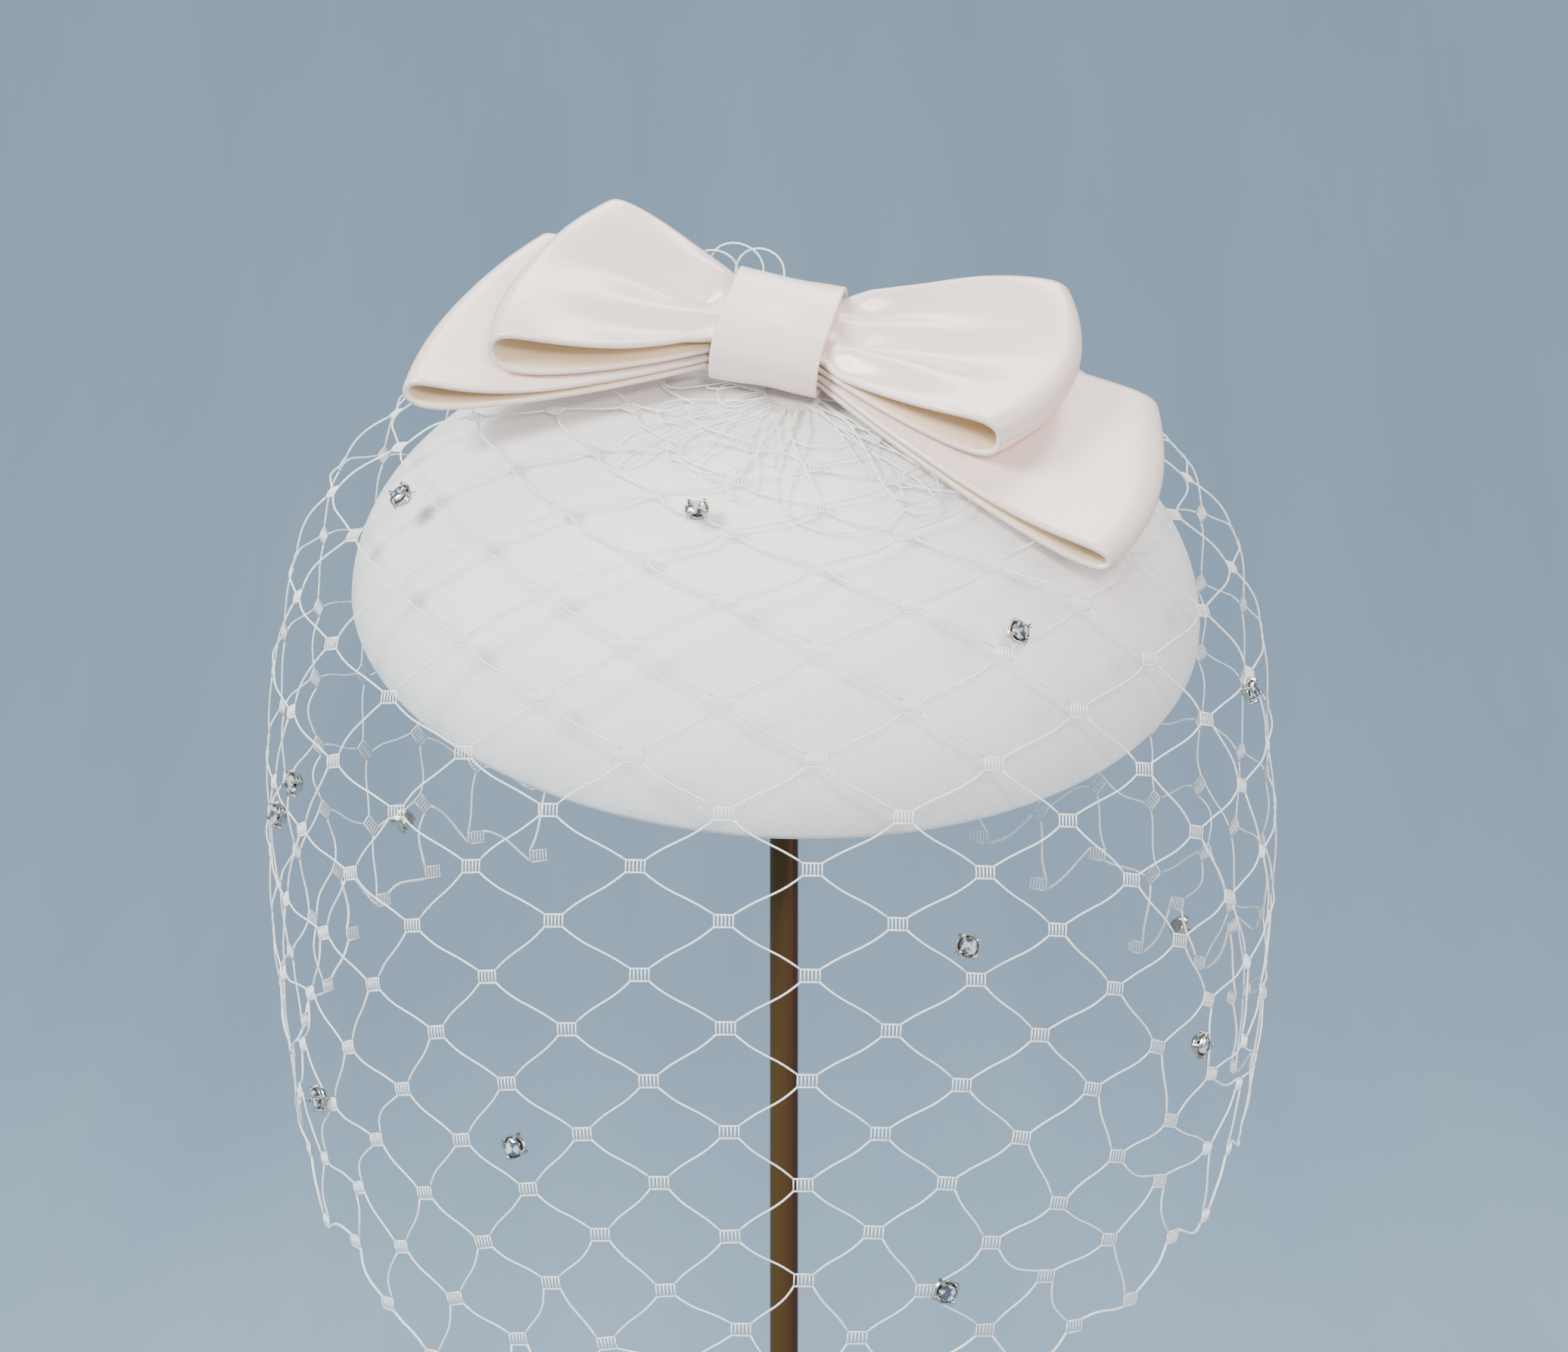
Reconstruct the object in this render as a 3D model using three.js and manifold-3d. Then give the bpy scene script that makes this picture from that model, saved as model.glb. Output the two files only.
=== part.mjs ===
// A small domed pillbox hat, covered in ivory satin, on a plain rod stand. A two-tier bow sits on
// top, and a birdcage veil with crystals in claw settings is gathered under the bow's knot.
// Millimetres, +Z up. The origin is the centre of the base's underside. The hat's front faces -Y.

import * as THREE from "three";
import { mergeVertices } from "three/addons/utils/BufferGeometryUtils.js";
import Module from "manifold-3d";

const wasm = await Module();
wasm.setup();

const degrees = Math.PI / 180;
const gap = 0.35; // clearance between neighbouring pieces

// ---- stand ----
const stand = {
  baseRadius: 62,
  baseHeight: 9,
  baseBevel: 1.5,
  collarRadius: 8,
  collarTaper: 1.5,
  collarHeight: 6,
  socketDepth: 9,
  postRadius: 2.75,
  postTop: 270,
  padRadius: 19,
  padBottom: 260,
};

// ---- crown: an oval dome with a rolled rim, tipped forward ----
const crown = {
  halfWidth: 82,
  halfDepth: 71,
  height: 42,
  shoulder: 2.2, // exponent of the dome's outline: 2 is an ellipse
  wall: 2,
  rimRadius: 2.2,
  rimTurn: 160 * degrees, // how far the rim rolls under
  centre: new THREE.Vector3(-1.5, 0, 236.5),
  tip: 30 * degrees, // the front is down by this much
  roll: 3.2 * degrees, // the wearer's left side is down by this much
};

// ---- bow: four folded ribbon loops under one band ----
const bow = {
  tip: 38 * degrees,
  turn: 12 * degrees,
  seat: { x: -2.6, y: 18.2, lift: 0.5 }, // the bow's origin on the crown
  wall: 1.2,
  halfGap: 0.85, // between a loop's two layers at the knot
  innerReach: 1.5,
  knotFront: -8.8,
  knotBack: 9.2,
  bandHalfWidth: 10.5,
  bandDepth: 12.6,
  bandBack: 0.3,
  bandHalfHeight: 6.1,
  bandCentre: 10.2,
  bandWall: 1.3,
  droopScale: 60,
  droopPower: 2.6,
  flarePower: 1.7,
  noseSquareness: 6,
  bandSquareness: 0.45,
};

// reach is measured from the bow's middle, at the front edge, mid width and back edge
const loopTable = [
  { name: "bow_upper_left_loop", side: -1, level: 11, reachFront: 50, reachMid: 49.5, reachBack: 39,
    front: -25, back: 18, droopFront: -2.5, droopBack: 0, puffFront: 3.4, puffBack: 4, swell: 1.6 },
  { name: "bow_lower_left_loop", side: -1, level: 7.2, reachFront: 64.5, reachMid: 62, reachBack: 51,
    front: -32, back: 16, droopFront: -4.6, droopBack: -5, puffFront: 4, puffBack: 2.4, swell: 5 },
  { name: "bow_upper_right_loop", side: 1, level: 11, reachFront: 47.5, reachMid: 57, reachBack: 51.5,
    front: -21, back: 22, droopFront: -5, droopBack: -3, puffFront: 3.2, puffBack: 3.6, swell: 1.6 },
  { name: "bow_lower_right_loop", side: 1, level: 7.2, reachFront: 72.5, reachMid: 77, reachBack: 72,
    front: -34.5, back: 12, droopFront: -5.9, droopBack: -7, puffFront: 3.2, puffBack: 2.4, swell: 5 },
];

// ---- veil: the netting's outer form, a thin shell that leaves the gather and hangs clear ----
const veil = {
  wall: 0.9,
  gather: { x: 1.5, y: 11 }, // on the crown, just in front of the knot
  halfAngle: 156 * degrees, // it stays open behind
  rest: 0.95, // middle of the shell above the crown, near the gather
  crownSteps: [0.06, 0.2, 0.36, 0.52, 0.68, 0.82],
  riseFrom: 0.42,
  riseFront: 7,
  riseSide: -3,
  shoulderOut: 12,
  shoulderSide: -3,
  shoulderUp: 7.5,
  middle: -2.5,
  widest: { side: 97, front: 84, height: 206, slope: 33, roll: 6 },
  waist: { side: 95.8, front: 84.5 },
  hem: { side: 90.5, front: 79, height: 136, slope: 46 },
};

// ---- stones: angle from the front, and the share of the way from the gather to the hem ----
const stone = {
  cupRadius: 2.35,
  cupHeight: 1.7,
  clawRadius: 0.38,
  clawCount: 4,
  girdleRadius: 1.95,
  tableRadius: 1.1,
  stand: 0.85, // from the middle of the netting to the back of the cup
};
const stoneTable = [
  { angle: -77.5, along: 0.57 },
  { angle: -23, along: 0.327 },
  { angle: 37.5, along: 0.557 },
  { angle: 73, along: 0.682 },
  { angle: -66, along: 0.753 },
  { angle: -70.5, along: 0.782 },
  { angle: -129, along: 0.93 },
  { angle: 21.5, along: 0.746 },
  { angle: 119, along: 0.97 },
  { angle: 54.5, along: 0.847 },
  { angle: -61.5, along: 0.909 },
  { angle: -28.5, along: 0.869 },
  { angle: 19.5, along: 0.926 },
];

const colours = {
  satin: new THREE.MeshStandardMaterial({ color: 0xf1ece6, roughness: 0.55 }),
  blush: new THREE.MeshStandardMaterial({ color: 0xf3e4dc, roughness: 0.35 }),
  net: new THREE.MeshStandardMaterial({ color: 0xf7f6f2, roughness: 0.6 }),
  silver: new THREE.MeshStandardMaterial({ color: 0xb9b4a8, roughness: 0.25, metalness: 1 }),
  crystal: new THREE.MeshStandardMaterial({ color: 0xe9f0f6, roughness: 0.05 }),
  bronze: new THREE.MeshStandardMaterial({ color: 0x4a300c, roughness: 0.4, metalness: 0.5 }),
};

// ---- helpers ----
function lerp(from, to, share) {
  return from + (to - from) * share;
}

function limitShare(value) {
  return Math.min(1, Math.max(0, value));
}

function toSolid(geometry) {
  const bare = geometry.clone();
  bare.deleteAttribute("normal");
  bare.deleteAttribute("uv");
  const merged = mergeVertices(bare, 1e-4);
  return new wasm.Manifold(new wasm.Mesh({
    numProp: 3,
    vertProperties: new Float32Array(merged.attributes.position.array),
    triVerts: new Uint32Array(merged.index.array),
  }));
}

function toGeometry(solid) {
  const mesh = solid.getMesh();
  const geometry = new THREE.BufferGeometry();
  geometry.setAttribute("position", new THREE.BufferAttribute(mesh.vertProperties, 3));
  geometry.setIndex(new THREE.BufferAttribute(mesh.triVerts, 1));
  geometry.computeVertexNormals();
  return geometry;
}

function buildGeometry(points, triangles) {
  const geometry = new THREE.BufferGeometry();
  const flat = points.flatMap((point) => [point.x, point.y, point.z]);
  geometry.setAttribute("position", new THREE.Float32BufferAttribute(flat, 3));
  geometry.setIndex(triangles.flat());
  geometry.computeVertexNormals();
  return geometry;
}

// Rings of points, each the same length and closed, joined in order; the ends are fans to a pole.
function ringsToGeometry(firstPole, rings, lastPole) {
  const count = rings[0].length;
  const points = [firstPole, ...rings.flat(), lastPole];
  const triangles = [];
  for (let i = 0; i < count; i++) {
    const next = (i + 1) % count;
    triangles.push([0, 1 + i, 1 + next]);
    for (let ring = 0; ring + 1 < rings.length; ring++) {
      const here = 1 + ring * count;
      const there = here + count;
      triangles.push([here + i, there + i, there + next]);
      triangles.push([here + i, there + next, here + next]);
    }
    const last = 1 + (rings.length - 1) * count;
    triangles.push([points.length - 1, last + next, last + i]);
  }
  return buildGeometry(points, triangles);
}

// A wall of even thickness on an open surface(row, column), with both in 0..1.
function sheetGeometry(surface, rows, columns, wall) {
  const step = 1e-3;
  const outer = [];
  const inner = [];
  for (let row = 0; row <= rows; row++) {
    for (let column = 0; column <= columns; column++) {
      const r = row / rows;
      const c = column / columns;
      const point = surface(r, c);
      const alongRow = surface(Math.min(1, r + step), c).sub(surface(Math.max(0, r - step), c));
      const alongColumn = surface(r, Math.min(1, c + step)).sub(surface(r, Math.max(0, c - step)));
      const normal = alongRow.cross(alongColumn).normalize();
      outer.push(point.clone().addScaledVector(normal, wall / 2));
      inner.push(point.clone().addScaledVector(normal, -wall / 2));
    }
  }
  const across = columns + 1;
  const back = outer.length;
  const at = (row, column) => row * across + column;
  const triangles = [];
  const quad = (a, b, c, d) => triangles.push([a, b, c], [a, c, d]);
  for (let row = 0; row < rows; row++) {
    for (let column = 0; column < columns; column++) {
      const a = at(row, column);
      const b = at(row + 1, column);
      const c = at(row + 1, column + 1);
      const d = at(row, column + 1);
      quad(a, b, c, d);
      quad(back + a, back + d, back + c, back + b);
    }
    quad(at(row, 0), back + at(row, 0), back + at(row + 1, 0), at(row + 1, 0));
    quad(at(row + 1, columns), back + at(row + 1, columns), back + at(row, columns), at(row, columns));
  }
  for (let column = 0; column < columns; column++) {
    quad(at(0, column + 1), back + at(0, column + 1), back + at(0, column), at(0, column));
    quad(at(rows, column), back + at(rows, column), back + at(rows, column + 1), at(rows, column + 1));
  }
  return buildGeometry([...outer, ...inner], triangles);
}

// ---- crown shape, in the crown's own frame ----
const crownTurn = new THREE.Matrix4().makeRotationY(crown.roll)
  .multiply(new THREE.Matrix4().makeRotationX(crown.tip));

function crownToWorld(point) {
  return point.applyMatrix4(crownTurn).add(crown.centre);
}

function domeHeight(x, y) {
  const fraction = Math.hypot(x / crown.halfWidth, y / crown.halfDepth);
  return crown.height * Math.sqrt(Math.max(0, 1 - fraction ** crown.shoulder));
}

function domeNormal(x, y) {
  const step = 0.05;
  const slopeX = (domeHeight(x + step, y) - domeHeight(x - step, y)) / (2 * step);
  const slopeY = (domeHeight(x, y + step) - domeHeight(x, y - step)) / (2 * step);
  return new THREE.Vector3(-slopeX, -slopeY, 1).normalize();
}

function ovalRing(fraction, inset, height, sides) {
  const ring = [];
  for (let i = 0; i < sides; i++) {
    const angle = 2 * Math.PI * i / sides;
    const x = (crown.halfWidth * fraction - inset) * Math.cos(angle);
    const y = (crown.halfDepth * fraction - inset) * Math.sin(angle);
    ring.push(crownToWorld(new THREE.Vector3(x, y, height)));
  }
  return ring;
}

function shellHeight(fraction) {
  return crown.height * Math.sqrt(1 - fraction ** crown.shoulder);
}

function makeCrown() {
  const sides = 64;
  const outerSteps = 11;
  const rimSteps = 6;
  const innerFractions = [0.985, 0.95, 0.88, 0.76, 0.6, 0.4, 0.2];
  const rings = [];
  for (let i = 1; i <= outerSteps; i++) {
    const fraction = Math.sin(Math.PI / 2 * i / outerSteps);
    rings.push(ovalRing(fraction, 0, shellHeight(fraction), sides));
  }
  for (let i = 1; i <= rimSteps; i++) {
    const angle = crown.rimTurn * i / rimSteps;
    const inset = crown.rimRadius * (1 - Math.cos(angle));
    rings.push(ovalRing(1, inset, -crown.rimRadius * Math.sin(angle), sides));
  }
  for (const fraction of innerFractions) {
    rings.push(ovalRing(fraction, crown.wall, shellHeight(fraction) - crown.wall, sides));
  }
  const top = crownToWorld(new THREE.Vector3(0, 0, crown.height));
  const under = crownToWorld(new THREE.Vector3(0, 0, crown.height - crown.wall));
  return ringsToGeometry(top, rings, under);
}

// The solid that fills the hollow, held clear of the wall: it shapes the top of the stand's pad.
function makeHollowFill() {
  const sides = 48;
  const fractions = [0.15, 0.3, 0.45, 0.6];
  const drop = crown.wall + 1.4 * gap;
  const floor = -20;
  const rings = fractions.map((fraction) => (
    ovalRing(fraction, drop, shellHeight(fraction) - drop, sides)
  ));
  rings.push(ovalRing(fractions.at(-1), drop, floor, sides));
  const top = crownToWorld(new THREE.Vector3(0, 0, crown.height - drop));
  const under = crownToWorld(new THREE.Vector3(0, 0, floor));
  return ringsToGeometry(top, rings, under);
}

// ---- stand ----
function uprightCylinder(radius, bottom, top, sides) {
  return new THREE.CylinderGeometry(radius, radius, top - bottom, sides)
    .rotateX(Math.PI / 2)
    .translate(0, 0, (top + bottom) / 2);
}

function makeBase() {
  const floor = stand.baseHeight + stand.collarHeight - stand.socketDepth;
  const top = stand.baseHeight + stand.collarHeight;
  const outline = [
    [0, 0],
    [stand.baseRadius, 0],
    [stand.baseRadius, stand.baseHeight - stand.baseBevel],
    [stand.baseRadius - stand.baseBevel, stand.baseHeight],
    [stand.collarRadius, stand.baseHeight],
    [stand.collarRadius - stand.collarTaper, top],
    [stand.postRadius + gap, top],
    [stand.postRadius + gap, floor],
    [0, floor],
  ].map(([radius, height]) => new THREE.Vector2(radius, height));
  return new THREE.LatheGeometry(outline, 64).rotateX(Math.PI / 2);
}

function makePad() {
  const crownTop = crown.centre.z + 2 * crown.height;
  const block = toSolid(uprightCylinder(stand.padRadius, stand.padBottom, crownTop, 40));
  const hole = uprightCylinder(stand.postRadius + gap, stand.padBottom - 5, stand.postTop + gap, 24);
  const socket = toSolid(hole);
  return toGeometry(block.intersect(toSolid(makeHollowFill())).subtract(socket));
}

function makePost() {
  const floor = stand.baseHeight + stand.collarHeight - stand.socketDepth;
  return uprightCylinder(stand.postRadius, floor + gap, stand.postTop, 24);
}

// ---- bow ----
const bowTurn = new THREE.Matrix4().makeRotationY(crown.roll)
  .multiply(new THREE.Matrix4().makeRotationX(bow.tip))
  .multiply(new THREE.Matrix4().makeRotationZ(-bow.turn));
const bowOrigin = crownToWorld(new THREE.Vector3(
  bow.seat.x,
  bow.seat.y,
  domeHeight(bow.seat.x, bow.seat.y) + bow.seat.lift,
));

function bowToWorld(along, back, up) {
  return new THREE.Vector3(along, back, up).applyMatrix4(bowTurn).add(bowOrigin);
}

// around runs from the top layer at the knot, round the fold, to the bottom layer at the knot;
// across runs from the front edge to the back edge.
function loopSurface(loop, around, across) {
  const share = Math.sin(Math.PI * around);
  const top = around <= 0.5 ? 1 : -1;
  const reach = loop.reachFront * (1 - across) * (1 - 2 * across)
    + 4 * loop.reachMid * across * (1 - across)
    + loop.reachBack * across * (2 * across - 1);
  const out = lerp(bow.innerReach, reach, share);
  const free = limitShare((out - bow.bandHalfWidth) / (reach - bow.bandHalfWidth));
  const flare = 1 - (1 - free) ** bow.flarePower;
  const atKnot = lerp(bow.knotFront, bow.knotBack, across);
  const back = lerp(atKnot, lerp(loop.front, loop.back, across), flare);
  const droop = lerp(loop.droopFront, loop.droopBack, across) * (out / bow.droopScale) ** bow.droopPower;
  const half = bow.halfGap + lerp(loop.puffFront, loop.puffBack, across) * share ** loop.swell;
  const nose = Math.sqrt(Math.max(0, 1 - share ** bow.noseSquareness));
  const up = loop.level + droop + half + top * half * nose;
  return bowToWorld(loop.side * out, back, up);
}

function makeLoop(loop) {
  const surface = (around, across) => {
    return loopSurface(loop, around, loop.side > 0 ? across : 1 - across);
  };
  return sheetGeometry(surface, 26, 8, bow.wall);
}

function bandOutline(inset) {
  const sides = 32;
  const shape = [];
  for (let i = 0; i < sides; i++) {
    const angle = 2 * Math.PI * i / sides;
    const c = Math.cos(angle);
    const s = Math.sin(angle);
    const back = bow.bandBack + (bow.bandDepth - inset) * Math.sign(c) * Math.abs(c) ** bow.bandSquareness;
    const up = bow.bandCentre + (bow.bandHalfHeight - inset) * Math.sign(s) * Math.abs(s) ** bow.bandSquareness;
    shape.push([back, up]);
  }
  return shape;
}

function makeKnot() {
  const outer = bandOutline(0);
  const inner = bandOutline(bow.bandWall);
  const place = ([back, up], along) => bowToWorld(along, back, up);
  const half = bow.bandHalfWidth;
  const rings = [
    outer.map((point) => place(point, -half)),
    outer.map((point) => place(point, half)),
    inner.map((point) => place(point, half)),
    inner.map((point) => place(point, -half)),
  ];
  const count = outer.length;
  const triangles = [];
  for (let ring = 0; ring < rings.length; ring++) {
    const here = ring * count;
    const there = ((ring + 1) % rings.length) * count;
    for (let i = 0; i < count; i++) {
      const next = (i + 1) % count;
      triangles.push([here + i, here + next, there + next], [here + i, there + next, there + i]);
    }
  }
  return buildGeometry(rings.flat(), triangles);
}

// ---- veil ----
function veilKeys(angle) {
  const s = Math.sin(angle);
  const c = Math.cos(angle);
  const keys = veil.crownSteps.map((share) => {
    const x = lerp(veil.gather.x, crown.halfWidth * s, share);
    const y = lerp(veil.gather.y, -crown.halfDepth * c, share);
    const rise = Math.max(0, (share - veil.riseFrom) / (veil.crownSteps.at(-1) - veil.riseFrom));
    const offset = veil.rest + (veil.riseFront + veil.riseSide * s * s) * rise ** 2;
    const point = new THREE.Vector3(x, y, domeHeight(x, y));
    return crownToWorld(point.addScaledVector(domeNormal(x, y), offset));
  });
  const out = veil.shoulderOut + veil.shoulderSide * s * s;
  keys.push(crownToWorld(new THREE.Vector3(
    (crown.halfWidth + out) * s,
    -(crown.halfDepth + out) * c,
    veil.shoulderUp,
  )));
  const level = (ring) => ring.height - ring.slope * c - (ring.roll ?? 0) * s;
  const place = (ring, height) => new THREE.Vector3(veil.middle + ring.side * s, -ring.front * c, height);
  keys.push(place(veil.widest, level(veil.widest)));
  keys.push(place(veil.waist, (level(veil.widest) + level(veil.hem)) / 2));
  keys.push(place(veil.hem, level(veil.hem)));
  return keys;
}

function curveThrough(keys, share) {
  const last = keys.length - 1;
  const place = share * last;
  const index = Math.min(last - 1, Math.floor(place));
  const t = place - index;
  const before = keys[index - 1] ?? keys[0].clone().multiplyScalar(2).sub(keys[1]);
  const after = keys[index + 2] ?? keys[last].clone().multiplyScalar(2).sub(keys[last - 1]);
  const from = keys[index];
  const to = keys[index + 1];
  const blend = (a, b, c, d) => 0.5 * (2 * b + (c - a) * t + (2 * a - 5 * b + 4 * c - d) * t * t
    + (3 * b - a - 3 * c + d) * t ** 3);
  return new THREE.Vector3(
    blend(before.x, from.x, to.x, after.x),
    blend(before.y, from.y, to.y, after.y),
    blend(before.z, from.z, to.z, after.z),
  );
}

function veilPoint(angle, share) {
  return curveThrough(veilKeys(angle), share);
}

function makeVeil() {
  const surface = (along, round) => veilPoint(lerp(-veil.halfAngle, veil.halfAngle, round), along);
  return sheetGeometry(surface, 18, 44, veil.wall);
}

// ---- stones ----
function makeSetting() {
  const cup = new THREE.LatheGeometry([
    [0, 0],
    [stone.cupRadius * 0.72, 0],
    [stone.cupRadius, stone.cupHeight],
    [stone.girdleRadius + 0.1, stone.cupHeight],
    [stone.girdleRadius * 0.6, 0.6],
    [0, 0.6],
  ].map(([radius, height]) => new THREE.Vector2(radius, height)), 16).rotateX(Math.PI / 2);
  let solid = toSolid(cup);
  for (let i = 0; i < stone.clawCount; i++) {
    const angle = 2 * Math.PI * (i + 0.5) / stone.clawCount;
    const claw = new THREE.CylinderGeometry(stone.clawRadius, stone.clawRadius, 1.6, 6)
      .rotateX(Math.PI / 2)
      .translate(
        (stone.cupRadius - 0.02) * Math.cos(angle),
        (stone.cupRadius - 0.02) * Math.sin(angle),
        stone.cupHeight + 0.2,
      );
    solid = solid.add(toSolid(claw));
  }
  return toGeometry(solid);
}

function makeCrystal() {
  const seat = stone.cupHeight - 0.05;
  const reach = stone.girdleRadius - 0.2;
  return new THREE.LatheGeometry([
    [0, 0.95],
    [reach * 0.5, 1.05],
    [reach, seat + 0.25],
    [reach, seat + 0.4],
    [stone.tableRadius, seat + 1],
    [0, seat + 1],
  ].map(([radius, height]) => new THREE.Vector2(radius, height)), 12).rotateX(Math.PI / 2);
}

function stonePlace({ angle, along }) {
  const step = 1e-3;
  const turn = angle * degrees;
  const centre = veilPoint(turn, along);
  const down = veilPoint(turn, along + step).sub(veilPoint(turn, along - step));
  const round = veilPoint(turn + step, along).sub(veilPoint(turn - step, along));
  const outward = down.cross(round).normalize();
  const facing = new THREE.Quaternion().setFromUnitVectors(new THREE.Vector3(0, 0, 1), outward);
  return { position: centre.addScaledVector(outward, stone.stand), facing };
}

// ---- the assembly ----
const hat = new THREE.Group();

function addPiece(name, geometry, material) {
  const mesh = new THREE.Mesh(geometry, material);
  mesh.name = name;
  hat.add(mesh);
  return mesh;
}

addPiece("stand_base", makeBase(), colours.bronze);
addPiece("stand_post", makePost(), colours.bronze);
addPiece("stand_pad", makePad(), colours.bronze);
addPiece("crown", makeCrown(), colours.satin);
addPiece("veil", makeVeil(), colours.net);
for (const loop of loopTable) {
  addPiece(loop.name, makeLoop(loop), colours.blush);
}
addPiece("bow_knot", makeKnot(), colours.blush);

stoneTable.forEach((row, index) => {
  const number = String(index + 1).padStart(2, "0");
  const { position, facing } = stonePlace(row);
  const pieces = [
    addPiece(`setting_${number}`, makeSetting(), colours.silver),
    addPiece(`crystal_${number}`, makeCrystal(), colours.crystal),
  ];
  for (const piece of pieces) {
    piece.position.copy(position);
    piece.quaternion.copy(facing);
  }
});

export default hat;
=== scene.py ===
import math
import random

import bpy
from mathutils import Matrix, Vector, noise


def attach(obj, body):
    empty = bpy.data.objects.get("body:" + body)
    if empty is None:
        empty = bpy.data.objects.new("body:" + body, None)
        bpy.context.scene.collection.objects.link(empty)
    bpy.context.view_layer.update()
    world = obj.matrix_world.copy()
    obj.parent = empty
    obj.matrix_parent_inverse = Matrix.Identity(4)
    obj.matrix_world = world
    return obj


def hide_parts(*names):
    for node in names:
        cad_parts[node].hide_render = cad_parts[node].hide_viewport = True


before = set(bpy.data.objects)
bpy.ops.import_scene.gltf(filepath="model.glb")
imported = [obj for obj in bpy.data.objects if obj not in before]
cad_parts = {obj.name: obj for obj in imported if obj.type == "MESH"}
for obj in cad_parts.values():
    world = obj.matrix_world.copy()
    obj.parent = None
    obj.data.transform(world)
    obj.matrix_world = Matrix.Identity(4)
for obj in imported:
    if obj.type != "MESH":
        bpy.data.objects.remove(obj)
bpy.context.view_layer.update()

mm = 0.001
rad = math.radians


# ---------- small helpers ----------

def lerp(a, b, share):
    return a + (b - a) * share


def clearSelection():
    if bpy.context.object and bpy.context.object.mode != "OBJECT":
        bpy.ops.object.mode_set(mode="OBJECT")
    bpy.ops.object.select_all(action="DESELECT")


def pickOnly(obj):
    clearSelection()
    obj.select_set(True)
    bpy.context.view_layer.objects.active = obj


def applyPlace(obj):
    pickOnly(obj)
    bpy.ops.object.transform_apply(location=True, rotation=True, scale=True)


def applyModifiers(obj):
    pickOnly(obj)
    for modifier in list(obj.modifiers):
        bpy.ops.object.modifier_apply(modifier=modifier.name)


def finishPiece(obj, slot, *replaced):
    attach(obj, "root")
    if replaced:
        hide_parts(*replaced)


def sheetPiece(name, points, faces, uvs=None):
    # points in metres; uvs, one for each point, in millimetres of cloth
    mesh = bpy.data.meshes.new(name)
    mesh.from_pydata(points, [], faces)
    mesh.update()
    if uvs:
        layer = mesh.uv_layers.new(name="cloth")
        for loop in mesh.loops:
            layer.data[loop.index].uv = uvs[loop.vertex_index]
    mesh.shade_smooth()
    obj = bpy.data.objects.new(name, mesh)
    bpy.context.collection.objects.link(obj)
    return obj


# a turned piece: one point is drawn out along the outline, then spun round the Z axis
def spunPiece(name, outline, steps):
    clearSelection()
    radius, height = outline[0]
    bpy.ops.mesh.primitive_plane_add(size=mm, location=(0, 0, 0))
    obj = bpy.context.object
    obj.name = name
    bpy.ops.object.mode_set(mode="EDIT")
    bpy.ops.mesh.select_mode(type="VERT")
    bpy.ops.mesh.select_all(action="SELECT")
    bpy.ops.mesh.merge(type="CENTER")
    bpy.ops.transform.translate(value=(radius * mm, 0, height * mm))
    for (r0, z0), (r1, z1) in zip(outline, outline[1:]):
        step = ((r1 - r0) * mm, 0, (z1 - z0) * mm)
        bpy.ops.mesh.extrude_region_move(TRANSFORM_OT_translate={"value": step})
    bpy.ops.mesh.select_all(action="SELECT")
    bpy.ops.mesh.spin(steps=steps, angle=2 * math.pi, center=(0, 0, 0), axis=(0, 0, 1))
    bpy.ops.mesh.select_all(action="SELECT")
    bpy.ops.mesh.remove_doubles(threshold=0.00001)
    bpy.ops.mesh.normals_make_consistent(inside=False)
    bpy.ops.object.mode_set(mode="OBJECT")
    bpy.ops.object.shade_smooth()
    return obj


# ---------- materials: sums on sockets are written as plain expressions ----------

class Signal:
    def __init__(self, finish, socket):
        self.finish = finish
        self.socket = socket

    def math(self, operation, first, second=None):
        sockets = {0: first} if second is None else {0: first, 1: second}
        return self.finish.node("ShaderNodeMath", {"operation": operation}, sockets)

    def __add__(self, other):
        return self.math("ADD", self, other)

    __radd__ = __add__

    def __sub__(self, other):
        return self.math("SUBTRACT", self, other)

    def __rsub__(self, other):
        return self.math("SUBTRACT", other, self)

    def __mul__(self, other):
        return self.math("MULTIPLY", self, other)

    __rmul__ = __mul__

    def __pow__(self, other):
        return self.math("POWER", self, other)

    def sine(self):
        return self.math("SINE", self)


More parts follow.
